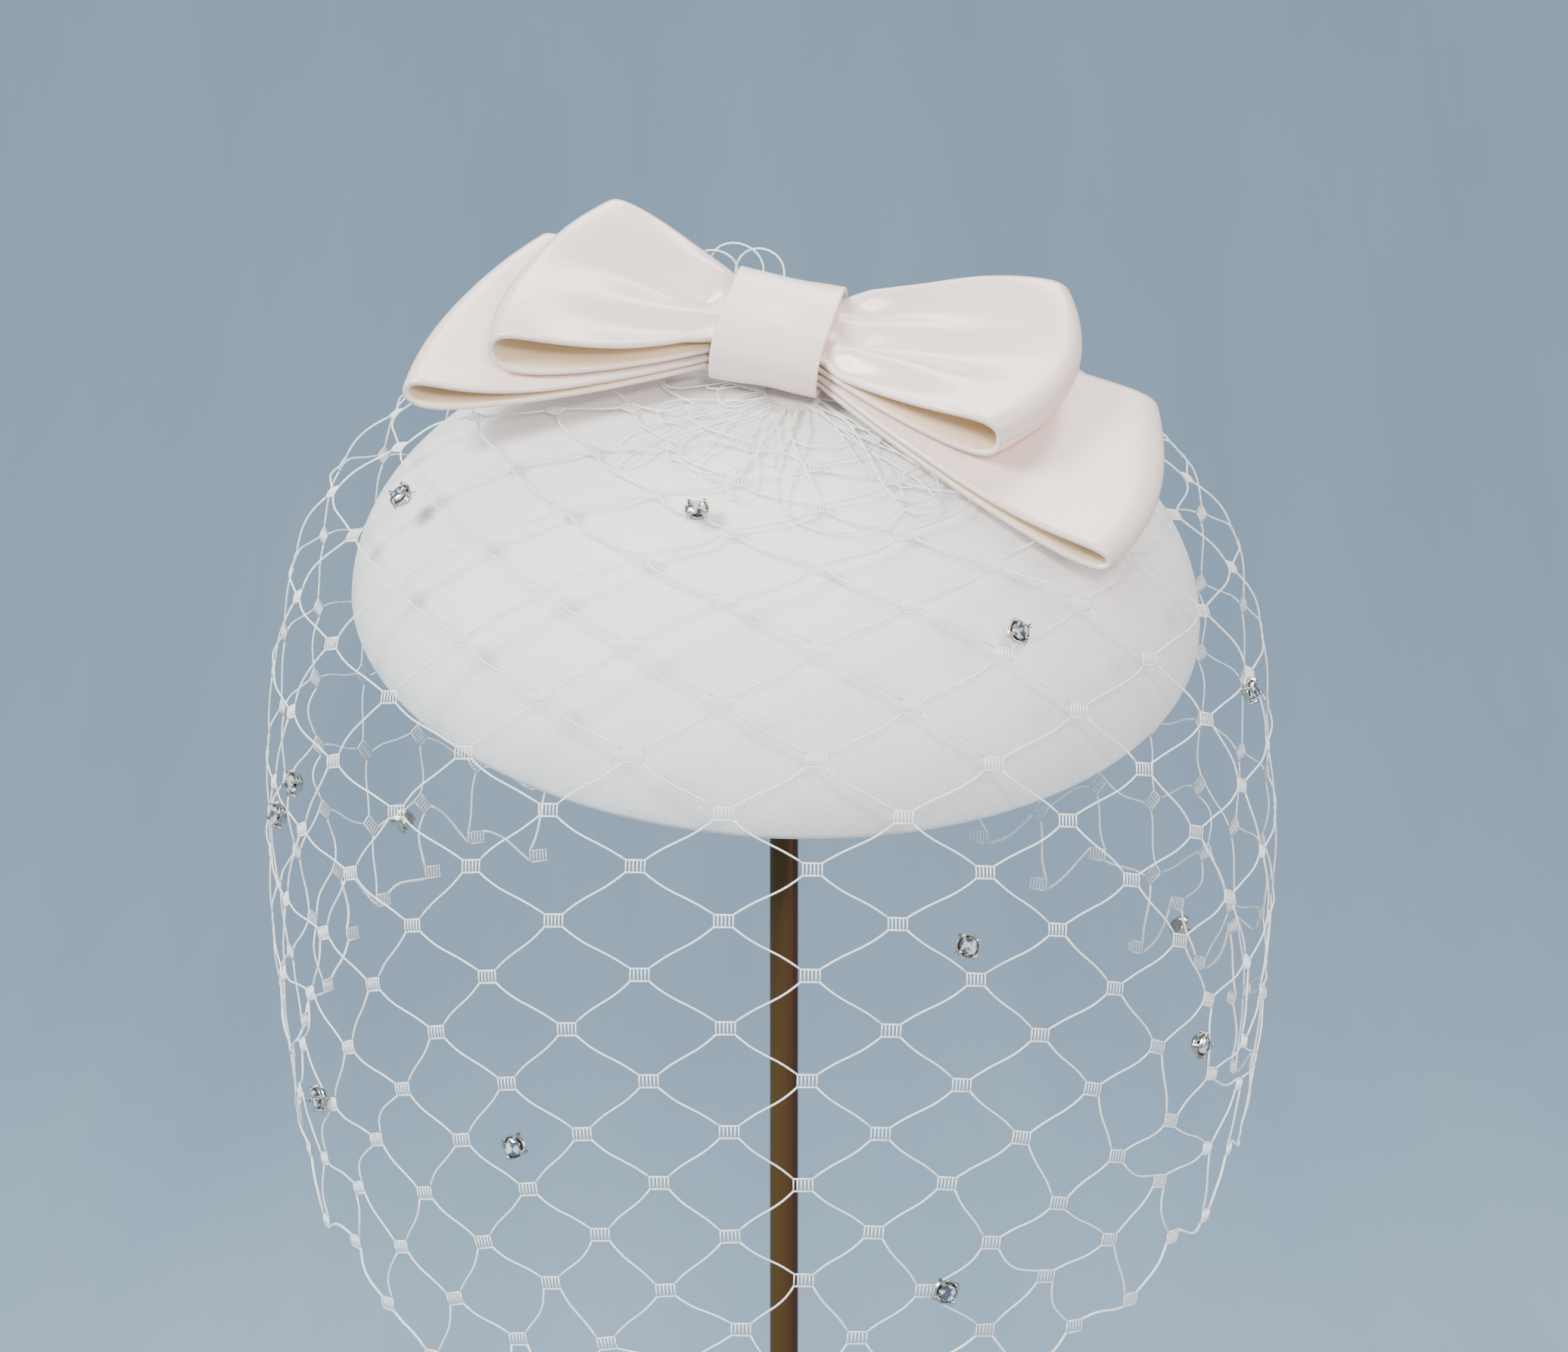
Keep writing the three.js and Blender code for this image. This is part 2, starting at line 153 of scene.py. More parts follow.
class Finish:
    def __init__(self, name, **constants):
        self.material = bpy.data.materials.new(name)
        self.material.use_nodes = True
        self.tree = self.material.node_tree
        self.surface = next(n for n in self.tree.nodes if n.type == "BSDF_PRINCIPLED")
        for socket, value in constants.items():
            self.surface.inputs[socket.replace("_", " ")].default_value = value

    def node(self, kind, settings=None, sockets=None, output=0):
        made = self.tree.nodes.new(kind)
        for key, value in (settings or {}).items():
            if key == "stops":
                ramp = made.color_ramp
                while len(ramp.elements) < len(value):
                    ramp.elements.new(0.5)
                for element, (place, colour) in zip(ramp.elements, value):
                    element.position = place
                    element.color = colour
            else:
                setattr(made, key, value)
        for key, value in (sockets or {}).items():
            if isinstance(value, Signal):
                self.tree.links.new(value.socket, made.inputs[key])
            else:
                made.inputs[key].default_value = value
        return Signal(self, made.outputs[output])

    def feed(self, socket, signal):
        self.tree.links.new(signal.socket, self.surface.inputs[socket])

    def place(self, source, scale=1.0, turn=0.0):
        coordinates = self.node("ShaderNodeTexCoord", output=source)
        return self.node("ShaderNodeMapping", None,
                         {0: coordinates, "Rotation": (0, 0, turn), "Scale": (scale, scale, scale)})

    def axes(self, place):
        parts = self.tree.nodes.new("ShaderNodeSeparateXYZ")
        self.tree.links.new(place.socket, parts.inputs[0])
        return [Signal(self, parts.outputs[i]) for i in range(3)]

    def noise(self, place, scale, detail=2.0, rough=0.5):
        return self.node("ShaderNodeTexNoise", None,
                         {"Vector": place, "Scale": scale, "Detail": detail, "Roughness": rough})

    def mix(self, share, first, second):
        return self.node("ShaderNodeMix", {"data_type": "RGBA"},
                         {0: share, 6: first, 7: second}, output=2)

    def bump(self, height, distance, strength=1.0):
        relief = self.node("ShaderNodeBump", None,
                           {"Height": height, "Distance": distance, "Strength": strength})
        self.feed("Normal", relief)


# satin: floats of silk cross in a fine diagonal twill; uv is in millimetres of cloth
def satinFinish(name, look):
    finish = Finish(name, Sheen_Weight=look["sheen"], Sheen_Roughness=0.35, Sheen_Tint=(1, 0.97, 0.94, 1),
                    Specular_IOR_Level=look["gloss"], Subsurface_Weight=0.0)
    cloth = finish.place("UV")
    across, along, _ = finish.axes(finish.place("UV", turn=look["bias"]))
    wobble = finish.noise(cloth, 0.6, 3.0)
    ribs = (across * (2 * math.pi / look["rib"]) + wobble * 6.0).sine()
    floats = (along * (2 * math.pi / look["float"]) + wobble * 4.0).sine()
    slub = finish.noise(cloth, 2.2, 4.0, 0.7)
    grain = finish.noise(cloth, 5.5, 2.0, 0.8)
    cloudy = finish.noise(cloth, 0.035, 2.0)
    weave = ribs * 0.35 + floats * 0.25 + slub * 0.5 + grain * look["grain"]
    finish.bump(weave, look["relief"] * mm, 1.0)
    # Two terms of the colour paint light in: the fine speckle is painted sparkle of the satin's floats, and the rib
    # term makes raised ribs lighter and grooves darker as painted shade. The cloudy and grain terms are tone that
    # differs at random.
    paintedSparkle = finish.node("ShaderNodeMapRange", {"clamp": True},
                        {"Value": finish.noise(cloth, 1.7, 3.0, 0.6), 1: 0.38, 2: 0.62, 3: 0.0, 4: 1.0})
    shade = cloudy * 0.4 + grain * 0.2 + paintedSparkle * look["paintedSparkle"] + ribs * look["thread"] + 0.05
    finish.feed("Base Color", finish.mix(shade, look["dark"], look["light"]))
    finish.feed("Roughness", slub * look["spread"] + (look["roughness"] - look["spread"] / 2))
    return finish.material


crownLook = {"paintedSparkle": 0.45, "thread": 0.12, "rib": 0.52, "float": 0.9, "bias": rad(38), "grain": 1.0, "relief": 0.07, "roughness": 0.5,
             "spread": 0.16, "sheen": 0.25, "gloss": 0.42,
             "dark": (0.80, 0.755, 0.725, 1), "light": (0.97, 0.93, 0.90, 1)}
bowLook = {"paintedSparkle": 0.12, "thread": 0.03, "rib": 0.4, "float": 0.8, "bias": rad(20), "grain": 0.35, "relief": 0.012, "roughness": 0.25,
           "spread": 0.1, "sheen": 0.1, "gloss": 0.85,
           "dark": (0.86, 0.675, 0.61, 1), "light": (0.96, 0.79, 0.72, 1)}
# The loops' inner faces: the satin's duller back, with a warm cream colour painted in as light bounced inside the
# loops.
satinBackPaintedBounceLook = dict(bowLook, roughness=0.42, gloss=0.5,
                  dark=(0.84, 0.65, 0.43, 1), light=(0.92, 0.76, 0.56, 1))

crownSatin = satinFinish("crown_satin", crownLook)
bowSatin = satinFinish("bow_satin", bowLook)
bowBackPaintedBounce = satinFinish("bow_satin_back_painted_bounce", satinBackPaintedBounceLook)


def netFinish():
    finish = Finish("veil_net", Specular_IOR_Level=0.5, Sheen_Weight=0.2, Sheen_Roughness=0.4)
    place = finish.place("Object")
    fibre = finish.noise(place, 2600.0, 2.0)
    patch = finish.noise(place, 40.0, 2.0)
    finish.feed("Base Color", finish.mix(patch * 0.6 + fibre * 0.4, (0.86, 0.86, 0.84, 1), (0.97, 0.97, 0.955, 1)))
    finish.feed("Roughness", fibre * 0.2 + 0.38)
    finish.bump(fibre, 0.04 * mm)
    return finish.material


def bronzeFinish(name, start, end):
    finish = Finish(name, Specular_IOR_Level=0.5, Metallic=0.55)
    place = finish.place("Object")
    across, _, _ = finish.axes(place)
    mottle = finish.noise(place, 90.0, 4.0, 0.65)
    brushed = finish.noise(finish.node("ShaderNodeMapping", None, {0: place, "Scale": (900, 900, 18)}), 1.0, 2.0)
    # The colour runs across X from the first given edge to the second, lighter olive-brown on the left to darker
    # red-brown on the right: painted light and shade across the rod and the base.
    side = finish.node("ShaderNodeMapRange", {"clamp": True},
                       {"Value": across, 1: start * mm, 2: end * mm, 3: 0.0, 4: 1.0})
    body = finish.mix(side, (0.105, 0.058, 0.008, 1), (0.062, 0.017, 0.004, 1))
    finish.feed("Base Color", finish.mix(mottle * 0.35, body, (0.05, 0.024, 0.008, 1)))
    finish.feed("Roughness", mottle * 0.2 + 0.34)
    finish.bump(brushed, 0.02 * mm)
    return finish.material


def silverFinish():
    finish = Finish("claw_silver", Metallic=1.0)
    place = finish.place("Object")
    # The noise paints dark brownish and bright patches into the silver as painted reflections; it also varies
    # roughness and bump.
    paintedReflectionPatches = finish.noise(place, 1500.0, 3.0)
    finish.feed("Base Color", finish.mix(paintedReflectionPatches, (0.30, 0.27, 0.21, 1), (0.86, 0.83, 0.76, 1)))
    finish.feed("Roughness", paintedReflectionPatches * 0.22 + 0.12)
    finish.bump(paintedReflectionPatches, 0.02 * mm)
    return finish.material


def crystalFinish():
    finish = Finish("cut_crystal", Roughness=0.03, Specular_IOR_Level=0.9, IOR=1.7)
    finish.surface.inputs["Metallic"].default_value = 0.55
    finish.surface.inputs["Coat Weight"].default_value = 1.0
    finish.surface.inputs["Coat Roughness"].default_value = 0.02
    place = finish.place("Object")
    # The noise below paints reflections into the stone's base colour: dark and near-white patches stand in for
    # facets mirroring dark and bright surroundings, and warm spots stand in for coloured glints.
    crystalGlintNoise = finish.noise(place, 900.0, 1.0)
    paintedFacetReflections = finish.mix(finish.node("ShaderNodeMapRange", {"clamp": True}, {"Value": crystalGlintNoise, 1: 0.42, 2: 0.58, 3: 0.0, 4: 1.0}),
                      (0.09, 0.10, 0.14, 1), (0.98, 0.99, 1.0, 1))
    paintedWarmGlints = finish.node("ShaderNodeMapRange", {"clamp": True}, {"Value": crystalGlintNoise, 1: 0.60, 2: 0.68, 3: 0.0, 4: 0.5})
    finish.feed("Base Color", finish.mix(paintedWarmGlints, paintedFacetReflections, (1.0, 0.80, 0.45, 1)))
    return finish.material


veilNet = netFinish()
# painted light and shade: a ramp across the rod's width, and a wider, gentler one across the base
rodBronze = bronzeFinish("rod_bronze", -2.4, 2.4)
baseBronze = bronzeFinish("base_bronze", -90, 90)
clawSilver = silverFinish()
cutCrystal = crystalFinish()
print("materials ready")


# ---------- camera, floor and lights ----------

studio = {"distance": 1.2, "elevation": rad(7.5), "focal": 142.2, "aim": (0.0, 0.0, 0.2222),
          "ambient": 0.42, "glow": 0.62, "sweep": 1.5}


def makeCamera():
    aim = Vector(studio["aim"])
    back = Vector((0, -math.cos(studio["elevation"]), math.sin(studio["elevation"])))
    data = bpy.data.cameras.new("camera")
    data.lens = studio["focal"]
    data.sensor_width = 36
    camera = bpy.data.objects.new("camera", data)
    camera.location = aim + back * studio["distance"]
    camera.rotation_euler = (-back).to_track_quat("-Z", "Y").to_euler()
    bpy.context.collection.objects.link(camera)
    bpy.context.scene.camera = camera


def addLight(name, place, aim, size, power, colour):
    data = bpy.data.lights.new(name, "AREA")
    data.shape = "RECTANGLE"
    data.size, data.size_y = size
    data.energy = power
    data.color = colour
    light = bpy.data.objects.new(name, data)
    light.location = place
    light.rotation_euler = (Vector(aim) - Vector(place)).to_track_quat("-Z", "Y").to_euler()
    bpy.context.collection.objects.link(light)


# one sweep of paper: a flat floor that curves up into the backdrop
def makeStage():
    clearSelection()
    bpy.ops.mesh.primitive_plane_add(size=1, location=(0, 0, 0))
    paper = bpy.context.object
    paper.name = "paper_sweep"
    bpy.ops.object.mode_set(mode="EDIT")
    bpy.ops.mesh.select_all(action="SELECT")
    bpy.ops.transform.resize(value=(14, 3.6, 1))
    bpy.ops.transform.translate(value=(0, -1.0, 0))
    bpy.ops.object.mode_set(mode="OBJECT")
    for vertex in paper.data.vertices:
        vertex.select = vertex.co.y > 0
    for edge in paper.data.edges:
        edge.select = all(paper.data.vertices[v].select for v in edge.vertices)
    for face in paper.data.polygons:
        face.select = False
    bpy.ops.object.mode_set(mode="EDIT")
    bpy.ops.mesh.select_mode(type="EDGE")
    radius, last = studio["sweep"], (0.0, 0.0)
    for step in range(1, 25):
        turn = math.pi / 2 * step / 24
        here = (radius * math.sin(turn), radius * (1 - math.cos(turn)))
        bpy.ops.mesh.extrude_region_move(
            TRANSFORM_OT_translate={"value": (0, here[0] - last[0], here[1] - last[1])})
        last = here
    bpy.ops.mesh.extrude_region_move(TRANSFORM_OT_translate={"value": (0, 0, 5)})
    bpy.ops.object.mode_set(mode="OBJECT")
    applyPlace(paper)
    bpy.ops.object.shade_smooth()
    linen = Finish("backdrop_linen", Roughness=0.95, Specular_IOR_Level=0.1,
                   Emission_Strength=studio["glow"], Emission_Color=(0.245, 0.345, 0.45, 1))
    streaks = linen.noise(linen.node("ShaderNodeMapping", None,
                                     {0: linen.place("Object"), "Scale": (16, 1, 4)}), 1.0, 4.0, 0.6)
    linen.feed("Base Color", linen.mix(streaks, (0.11, 0.165, 0.235, 1), (0.20, 0.26, 0.31, 1)))
    paper.data.materials.append(linen.material)

    world = bpy.data.worlds.new("studio")
    world.use_nodes = True
    sky = world.node_tree.nodes["Background"]
    sky.inputs[0].default_value = (0.86, 0.92, 1.0, 1)
    sky.inputs[1].default_value = studio["ambient"]
    bpy.context.scene.world = world

    addLight("key", (-0.85, -0.75, 0.95), (0, 0, 0.24), (0.5, 0.5), 32, (0.93, 1.0, 0.985))
    addLight("front", (0.25, -1.6, 0.75), (0, 0, 0.22), (0.2, 0.2), 17, (1.0, 0.97, 0.95))
    addLight("fill", (1.0, -0.6, 0.55), (0, 0, 0.22), (0.5, 0.7), 10, (1.0, 0.86, 0.80))
    addLight("top", (0.1, 0.3, 1.1), (0, 0, 0.25), (0.9, 0.35), 10, (1, 1, 1))


makeCamera()
makeStage()
print("camera and studio ready")


# ---------- crown ----------

crown = {"halfWidth": 82.0, "halfDepth": 71.0, "height": 42.0, "shoulder": 2.2, "wall": 2.0,
         "rim": 2.2, "rimTurn": rad(160), "centre": Vector((-1.5, 0, 236.5)),
         "tip": rad(30), "roll": rad(3.2)}
crownTurn = Matrix.Rotation(crown["roll"], 4, "Y") @ Matrix.Rotation(crown["tip"], 4, "X")
crownPlace = Matrix.Translation(crown["centre"]) @ crownTurn


def domeHeight(x, y):
    fraction = math.hypot(x / crown["halfWidth"], y / crown["halfDepth"])
    return crown["height"] * math.sqrt(max(0.0, 1 - fraction ** crown["shoulder"]))


def domeNormal(x, y):
    step = 0.05
    slopeX = (domeHeight(x + step, y) - domeHeight(x - step, y)) / (2 * step)
    slopeY = (domeHeight(x, y + step) - domeHeight(x, y - step)) / (2 * step)
    return Vector((-slopeX, -slopeY, 1)).normalized()


def makeCrown():
    width = crown["halfWidth"]
    outline = []
    for i in range(33):
        fraction = math.sin(math.pi / 2 * i / 32)
        outline.append((width * fraction, domeHeight(width * fraction, 0)))
    for i in range(1, 13):
        turn = crown["rimTurn"] * i / 12
        outline.append((width - crown["rim"] * (1 - math.cos(turn)), -crown["rim"] * math.sin(turn)))
    for fraction in (0.985, 0.97, 0.95, 0.92, 0.88, 0.82, 0.74, 0.64, 0.52, 0.4, 0.27, 0.13, 0.0):
        radius = (width - crown["wall"]) * fraction
        outline.append((radius, domeHeight(width * fraction, 0) - crown["wall"]))
    piece = spunPiece("crown_shell", outline, 192)
    arcs = [0.0]
    for (r0, z0), (r1, z1) in zip(outline, outline[1:]):
        arcs.append(arcs[-1] + math.hypot(r1 - r0, z1 - z0))
    mesh = piece.data
    while mesh.uv_layers:
        mesh.uv_layers.remove(mesh.uv_layers[0])
    layer = mesh.uv_layers.new(name="cloth")
    places = {}
    for vertex in mesh.vertices:
        radius = math.hypot(vertex.co.x, vertex.co.y) / mm
        height = vertex.co.z / mm
        near = min(range(len(outline)), key=lambda k: (outline[k][0] - radius) ** 2 + (outline[k][1] - height) ** 2)
        turn = math.atan2(vertex.co.y, vertex.co.x)
        places[vertex.index] = (arcs[near] * math.cos(turn), arcs[near] * math.sin(turn))
    for loop in mesh.loops:
        layer.data[loop.index].uv = places[loop.vertex_index]
    piece.scale = (1, crown["halfDepth"] / width, 1)
    applyPlace(piece)
    mesh.transform(Matrix.Translation(crown["centre"] * mm) @ crownTurn)
    mesh.materials.append(crownSatin)
    finishPiece(piece, "crown_satin", "crown")


makeCrown()
print("crown ready")


# ---------- stand ----------

stand = {"baseRadius": 62.0, "baseHeight": 9.0, "bevel": 1.5, "collar": 8.0, "collarTop": 15.0,
         "taper": 1.5, "socketFloor": 6.0, "post": 2.75, "postTop": 270.0, "clear": 0.35}


def makeStand():
    s = stand
    round_ = [(s["baseRadius"] - s["bevel"] * (1 - math.cos(a)), s["baseHeight"] - s["bevel"] * (1 - math.sin(a)))
              for a in (0, rad(22), rad(45), rad(68), rad(90))]
    neck = [(s["collar"] + 1.2, s["baseHeight"]), (s["collar"] + 0.3, s["baseHeight"] + 0.4),
            (s["collar"], s["baseHeight"] + 1.2), (s["collar"] - s["taper"] + 0.3, s["collarTop"] - 0.5),
            (s["collar"] - s["taper"] - 0.4, s["collarTop"])]
    bore = s["post"] + s["clear"]
    outline = ([(0, 0), (s["baseRadius"] - 0.8, 0), (s["baseRadius"], 0.8)] + round_ + neck
               + [(bore, s["collarTop"]), (bore, s["socketFloor"]), (0, s["socketFloor"])])
    base = spunPiece("base_disc", outline, 128)
    bottom = s["socketFloor"] + s["clear"]
    rod = [(0, bottom), (s["post"] - 0.3, bottom), (s["post"], bottom + 0.3)]
    rod += [(s["post"], lerp(bottom + 0.3, s["postTop"] - 0.3, i / 12)) for i in range(1, 13)]
    rod += [(s["post"] - 0.3, s["postTop"]), (0, s["postTop"])]
    post = spunPiece("post_rod", rod, 48)
    for piece, node, finish in ((base, "stand_base", baseBronze), (post, "stand_post", rodBronze)):
        piece.data.materials.append(finish)
        pickOnly(piece)
        bpy.ops.object.shade_smooth_by_angle(angle=rad(35))
        finishPiece(piece, "stand_metal", node)
    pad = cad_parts["stand_pad"]
    cork = Finish("pad_cork", Roughness=0.85)
    flecks = cork.noise(cork.place("Object"), 420.0, 4.0, 0.7)
    cork.feed("Base Color", cork.mix(flecks, (0.16, 0.08, 0.03, 1), (0.36, 0.22, 0.11, 1)))
    cork.bump(flecks, 0.3 * mm)
    pad.data.materials.clear()
    pad.data.materials.append(cork.material)


makeStand()
print("stand ready")


# ---------- bow ----------

bow = {"tip": rad(38), "turn": rad(12), "seat": (-2.6, 18.2), "lift": 0.5, "halfGap": 0.85,
       "inner": 1.5, "knotFront": -8.8, "knotBack": 9.2, "bandHalf": 10.5, "bandDepth": 12.6,
       "bandBack": 0.3, "bandHeight": 6.1, "bandCentre": 10.2, "bandWall": 1.3, "droopScale": 60.0,
       "droopPower": 2.6, "flarePower": 1.7, "nose": 14, "square": 0.55, "cloth": 1.1}
seatX, seatY = bow["seat"]
bowTurn = (Matrix.Rotation(crown["roll"], 4, "Y") @ Matrix.Rotation(bow["tip"], 4, "X")
           @ Matrix.Rotation(-bow["turn"], 4, "Z"))
bowPlace = Matrix.Translation(
    crownPlace @ Vector((seatX, seatY, domeHeight(seatX, seatY) + bow["lift"]))) @ bowTurn

loopTable = [
    {"name": "upper_left", "side": -1, "level": 11, "reachFront": 50, "reachMid": 49.5, "reachBack": 39,
     "front": -25, "back": 18, "droopFront": -2.5, "droopBack": 0, "puffFront": 4.6, "puffBack": 4,
     "swell": 1.6, "folds": 2.2, "pleat": 1.7, "wave": 1.5, "phase": 0.4, "seed": 3, "flat": (43, 102)},
    {"name": "lower_left", "side": -1, "level": 7.2, "reachFront": 64.5, "reachMid": 62, "reachBack": 51,
     "front": -32, "back": 16, "droopFront": -4.6, "droopBack": -5, "puffFront": 4, "puffBack": 2.4,
     "swell": 5, "folds": 1.0, "pleat": 0, "wave": 0.4, "phase": 1.9, "seed": 11, "flat": (48, 128)},
    {"name": "upper_right", "side": 1, "level": 11, "reachFront": 47.5, "reachMid": 57, "reachBack": 51.5,
     "front": -21, "back": 22, "droopFront": -5, "droopBack": -3, "puffFront": 4.3, "puffBack": 3.6,
     "swell": 1.6, "folds": 2.6, "pleat": 1.7, "wave": 1.5, "phase": 2.6, "seed": 7, "flat": (43, 116)},
    {"name": "lower_right", "side": 1, "level": 7.2, "reachFront": 72.5, "reachMid": 77, "reachBack": 72,
     "front": -34.5, "back": 12, "droopFront": -5.9, "droopBack": -7, "puffFront": 3.2, "puffBack": 2.4,
     "swell": 5, "folds": 1.0, "pleat": 0, "wave": 0.4, "phase": 0.9, "seed": 19, "flat": (47, 154)},
]


# around: 0 top layer at the knot, 0.5 the outer fold, 1 bottom layer at the knot
def loopPoint(loop, around, across):
    share = math.sin(math.pi * around)
    top = 1 if around <= 0.5 else -1
    reach = (loop["reachFront"] * (1 - across) * (1 - 2 * across) + 4 * loop["reachMid"] * across * (1 - across)
             + loop["reachBack"] * across * (2 * across - 1))
    out = lerp(bow["inner"], reach, share)
    free = min(1.0, max(0.0, (out - bow["bandHalf"]) / (reach - bow["bandHalf"])))
    flare = 1 - (1 - free) ** bow["flarePower"]
    atKnot = lerp(bow["knotFront"], bow["knotBack"], across)
    back = lerp(atKnot, lerp(loop["front"], loop["back"], across), flare)
    droop = lerp(loop["droopFront"], loop["droopBack"], across) * (out / bow["droopScale"]) ** bow["droopPower"]
    half = bow["halfGap"] + lerp(loop["puffFront"], loop["puffBack"], across) * share ** loop["swell"]
    nose = math.sqrt(max(0.0, 1 - share ** bow["nose"]))
    up = loop["level"] + droop + half + top * half * nose
    if top > 0:
        up += gatherFolds(loop, free, across) * nose
    soft = noise.noise(Vector((out * 0.045, back * 0.05, loop["seed"] + top * 0.35)))
    up += loop["wave"] * soft * min(1.0, free * 2.5) * (1 if top > 0 else 0.35)
    return bowPlace @ Vector((loop["side"] * out, back, up)), (out + (200 if top < 0 else 0), back)


# the ribbon is pinched under the band, so pleats fan out from there and fade away
def gatherFolds(loop, free, across):
    rise = min(1.0, free / 0.12)
    fade = rise * (1 - min(1.0, free / 0.9)) ** 1.1
    pleats = math.cos(2 * math.pi * loop["folds"] * across + loop["phase"])
    deep = math.exp(-((across - 0.55) / 0.16) ** 2)
    return fade * loop["pleat"] * (pleats - 1.76 * deep)


def makeLoop(loop):
    rows, columns = 150, 56
    points, uvs, faces = [], [], []
    for row in range(rows + 1):
        for column in range(columns + 1):
            place, uv = loopPoint(loop, row / rows, column / columns)
            points.append(place * mm)
            uvs.append(uv)
    for row in range(rows):
        for column in range(columns):
            a = row * (columns + 1) + column
            b = a + columns + 1
            quad = (a, b, b + 1, a + 1)
            faces.append(quad if loop["side"] > 0 else quad[::-1])
    piece = sheetPiece("bow_" + loop["name"], points, faces, uvs)
    piece.data.materials.append(bowSatin)
    piece.data.materials.append(bowBackPaintedBounce)
    cloth = piece.modifiers.new("cloth", "SOLIDIFY")
    cloth.thickness = bow["cloth"] * mm
    cloth.offset = 0
    # The second side of the sheet takes the material with painted bounce light.
    cloth.material_offset = 1
    cloth.material_offset_rim = 0
    applyModifiers(piece)
    finishPiece(piece, "bow_satin", "bow_" + loop["name"] + "_loop")


def bandPoint(turn, along, inset):
    c, s = math.cos(turn), math.sin(turn)
    back = bow["bandBack"] + (bow["bandDepth"] - inset) * math.copysign(abs(c) ** bow["square"], c)
    up = bow["bandCentre"] + (bow["bandHeight"] - inset) * math.copysign(abs(s) ** bow["square"], s)
    crease = 0.28 * noise.noise(Vector((along * 0.16, back * 0.11, up * 0.11)))
    waist = 0.35 * (1 - (along / bow["bandHalf"]) ** 2)
    out = Vector((0, back - bow["bandBack"], up - bow["bandCentre"])).normalized() * (crease - waist)
    return bowPlace @ (Vector((along, back, up)) + out)


def makeBand():
    sides, lines = 160, 26
    points, uvs, faces = [], [], []
    for i in range(sides + 1):
        turn = 2 * math.pi * i / sides
        for line in range(lines + 1):
            along = lerp(-bow["bandHalf"], bow["bandHalf"], line / lines)
            points.append(bandPoint(turn, along, 0.35) * mm)
            uvs.append((i * 68 / sides, along))
    for i in range(sides):
        for line in range(lines):
            a = i * (lines + 1) + line
            b = a + lines + 1
            faces.append((a, a + 1, b + 1, b))
    piece = sheetPiece("bow_band", points, faces, uvs)
    pickOnly(piece)
    bpy.ops.object.mode_set(mode="EDIT")
    bpy.ops.mesh.select_all(action="SELECT")
    bpy.ops.mesh.remove_doubles(threshold=0.000002)
    bpy.ops.object.mode_set(mode="OBJECT")
    piece.data.materials.append(bowSatin)
    cloth = piece.modifiers.new("cloth", "SOLIDIFY")
    cloth.thickness = 0.9 * mm
    cloth.offset = 0
    edge = piece.modifiers.new("edge", "BEVEL")
    edge.width = 0.35 * mm
    edge.segments = 3
    edge.limit_method = "ANGLE"
    edge.angle_limit = rad(50)
    applyModifiers(piece)
    finishPiece(piece, "bow_satin", "bow_knot")


for loop in loopTable:
    makeLoop(loop)
makeBand()
print("bow ready")


# ---------- veil ----------

veil = {"gather": (1.5, 11), "halfAngle": 156.0, "rest": 0.95,
        "crownSteps": (0.06, 0.2, 0.36, 0.52, 0.68, 0.82), "riseFrom": 0.42, "riseFront": 7.0,
        "riseSide": -3.0, "shoulderOut": 12.0, "shoulderSide": -3.0, "shoulderUp": 7.5, "middle": -2.5,
        "widest": (97.0, 84.0), "widestHeight": 206.0, "widestSlope": 33.0, "widestRoll": 6.0,
        "waist": (95.8, 84.5), "hem": (90.5, 79.0), "hemHeight": 136.0, "hemSlope": 46.0}
net = {"halfMesh": (12.3, 8.8), "shift": 0.5, "spread": 2.0, "firstKnot": 22, "lastKnot": 330,
       "strand": 15.1, "rounds": 90, "thread": 0.2, "ribs": 6, "knotWidth": 3.5, "knotHeight": 2.3,
       "hemThread": 0.27, "seed": 5}


def veilKeys(angle):
    s, c = math.sin(angle), math.cos(angle)
    keys = []
    for share in veil["crownSteps"]:
        x = lerp(veil["gather"][0], crown["halfWidth"] * s, share)
        y = lerp(veil["gather"][1], -crown["halfDepth"] * c, share)
        rise = max(0.0, (share - veil["riseFrom"]) / (veil["crownSteps"][-1] - veil["riseFrom"]))
        offset = veil["rest"] + (veil["riseFront"] + veil["riseSide"] * s * s) * rise ** 2
        keys.append(crownPlace @ (Vector((x, y, domeHeight(x, y))) + domeNormal(x, y) * offset))
    out = veil["shoulderOut"] + veil["shoulderSide"] * s * s
    keys.append(crownPlace @ Vector(((crown["halfWidth"] + out) * s, -(crown["halfDepth"] + out) * c,
                                     veil["shoulderUp"])))
    widest = veil["widestHeight"] - veil["widestSlope"] * c - veil["widestRoll"] * s
    hem = veil["hemHeight"] - veil["hemSlope"] * c
    for (side, front), height in ((veil["widest"], widest), (veil["waist"], (widest + hem) / 2),
                                  (veil["hem"], hem)):
        keys.append(Vector((veil["middle"] + side * s, -front * c, height)))
    return keys


def curveThrough(keys, share):
    last = len(keys) - 1
    index = min(last - 1, max(0, int(share * last)))
    t = share * last - index
    before = keys[index - 1] if index else keys[0] * 2 - keys[1]
    after = keys[index + 2] if index + 2 <= last else keys[last] * 2 - keys[last - 1]
    here, there = keys[index], keys[index + 1]
    return 0.5 * (here * 2 + (there - before) * t + (before * 2 - here * 5 + there * 4 - after) * t * t
                  + (here * 3 - before - there * 3 + after) * t ** 3)


